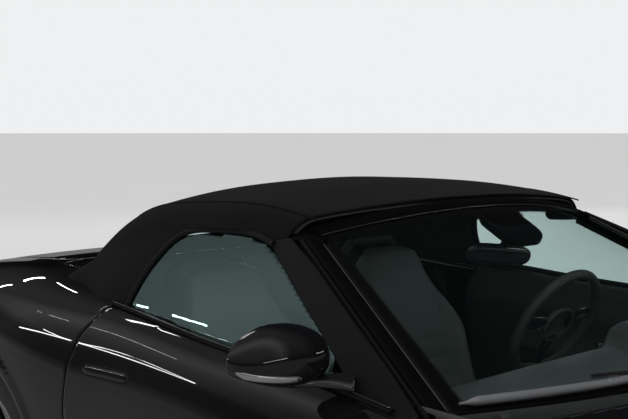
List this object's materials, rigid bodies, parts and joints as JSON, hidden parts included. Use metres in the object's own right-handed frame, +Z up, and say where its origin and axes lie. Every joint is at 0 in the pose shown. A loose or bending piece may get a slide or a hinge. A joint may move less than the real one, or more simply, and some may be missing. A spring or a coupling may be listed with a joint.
{
  "type": "convertible car",
  "caption": "Open two-seat sports car with its fabric roof raised, long bonnet, side doors, boot lid, and wheels that roll and steer.",
  "frame": {"origin": "on the floor under the middle of the car's bounding box", "axes": "+Z up, +Y towards the tail, -Y towards the nose, +X towards the car's left side (driver's side)"},
  "size_m": [2.028, 4.476, 1.3228],
  "materials": {
    "body_paint": "black gloss lacquer",
    "roof_fabric": "matt woven cloth",
    "window_glass": "light green tint",
    "lamp_glass": "clear",
    "red_lamp": "polished red lens",
    "gloss_trim": "polished black",
    "dark_trim": "grained black",
    "inner_metal": "satin dark coat",
    "cast_metal": "as cast",
    "exhaust_steel": "brushed",
    "seat_leather": "smooth black hide",
    "alloy": "satin cast",
    "tyre": "moulded rubber"
  },
  "bodies": {
    "body": {"rear_deck": "body_paint", "wing_left": "body_paint", "wing_right": "body_paint", "quarter_left": "body_paint", "quarter_right": "body_paint", "side_sills": "body_paint", "front_bumper": "body_paint", "rear_bumper": "body_paint", "soft_top": "roof_fabric", "windscreen": "window_glass", "rear_window": "window_glass", "headlamps": "lamp_glass", "tail_lamps": "red_lamp", "windscreen_frame": "gloss_trim", "grille": "dark_trim", "wipers": "dark_trim", "dashboard": "dark_trim", "centre_console": "dark_trim", "front_inner_body": "inner_metal", "rear_inner_body": "inner_metal", "floor_pan": "inner_metal", "engine": "cast_metal", "front_suspension": "cast_metal", "rear_suspension": "cast_metal", "exhaust": "exhaust_steel", "seat_left": "seat_leather", "seat_right": "seat_leather"},
    "bonnet": {"bonnet": "body_paint"},
    "boot_lid": {"boot_lid": "body_paint"},
    "door_left": {"door_left": "body_paint", "door_glass_left": "window_glass", "door_mirror_left": "gloss_trim"},
    "door_right": {"door_right": "body_paint", "door_glass_right": "window_glass", "door_mirror_right": "gloss_trim"},
    "steering_wheel": {"steering_wheel": "dark_trim"},
    "knuckle_left": {"knuckle_left": "cast_metal"},
    "knuckle_right": {"knuckle_right": "cast_metal"},
    "wheel_front_left": {"wheel_front_left": "alloy", "tyre_front_left": "tyre"},
    "wheel_front_right": {"wheel_front_right": "alloy", "tyre_front_right": "tyre"},
    "wheel_rear_left": {"wheel_rear_left": "alloy", "tyre_rear_left": "tyre"},
    "wheel_rear_right": {"wheel_rear_right": "alloy", "tyre_rear_right": "tyre"}
  },
  "joints": [
    {"name": "bonnet_hinge", "type": "hinge", "parent": "body", "child": "bonnet", "pos_m": [0, -0.685, 0.92], "axis": [-1, 0, 0], "range_deg": [0, 50]},
    {"name": "boot_lid_hinge", "type": "hinge", "parent": "body", "child": "boot_lid", "pos_m": [0, 1.375, 0.947], "axis": [1, 0, 0], "range_deg": [0, 65]},
    {"name": "door_left_hinge", "type": "hinge", "parent": "body", "child": "door_left", "pos_m": [0.88, -0.71, 0.52], "axis": [0, 0, -1], "range_deg": [0, 65]},
    {"name": "door_right_hinge", "type": "hinge", "parent": "body", "child": "door_right", "pos_m": [-0.88, -0.71, 0.52], "axis": [0, 0, 1], "range_deg": [0, 65]},
    {"name": "knuckle_left_steer", "type": "hinge", "parent": "body", "child": "knuckle_left", "pos_m": [0.7145, -1.367, 0.34], "axis": [0, 0, 1], "range_deg": [-33, 33]},
    {"name": "knuckle_right_steer", "type": "hinge", "parent": "body", "child": "knuckle_right", "pos_m": [-0.7145, -1.367, 0.34], "axis": [0, 0, 1], "range_deg": [-33, 33]},
    {"name": "steering_wheel_turn", "type": "hinge", "parent": "body", "child": "steering_wheel", "pos_m": [0.37, -0.045, 0.87], "axis": [0, 0.9063, 0.4226], "range_deg": [-451, 451]},
    {"name": "wheel_front_left_spin", "type": "hinge", "parent": "knuckle_left", "child": "wheel_front_left", "pos_m": [0.7925, -1.367, 0.34], "axis": [1, 0, 0], "continuous": true},
    {"name": "wheel_front_right_spin", "type": "hinge", "parent": "knuckle_right", "child": "wheel_front_right", "pos_m": [-0.7925, -1.367, 0.34], "axis": [1, 0, 0], "continuous": true},
    {"name": "wheel_rear_left_spin", "type": "hinge", "parent": "body", "child": "wheel_rear_left", "pos_m": [0.81, 1.255, 0.34], "axis": [1, 0, 0], "continuous": true},
    {"name": "wheel_rear_right_spin", "type": "hinge", "parent": "body", "child": "wheel_rear_right", "pos_m": [-0.81, 1.255, 0.34], "axis": [1, 0, 0], "continuous": true}
  ],
  "couplings": [
    {"joint": "knuckle_right_steer", "follows": "knuckle_left_steer", "ratio": 1},
    {"joint": "steering_wheel_turn", "follows": "knuckle_left_steer", "ratio": 13.636}
  ]
}
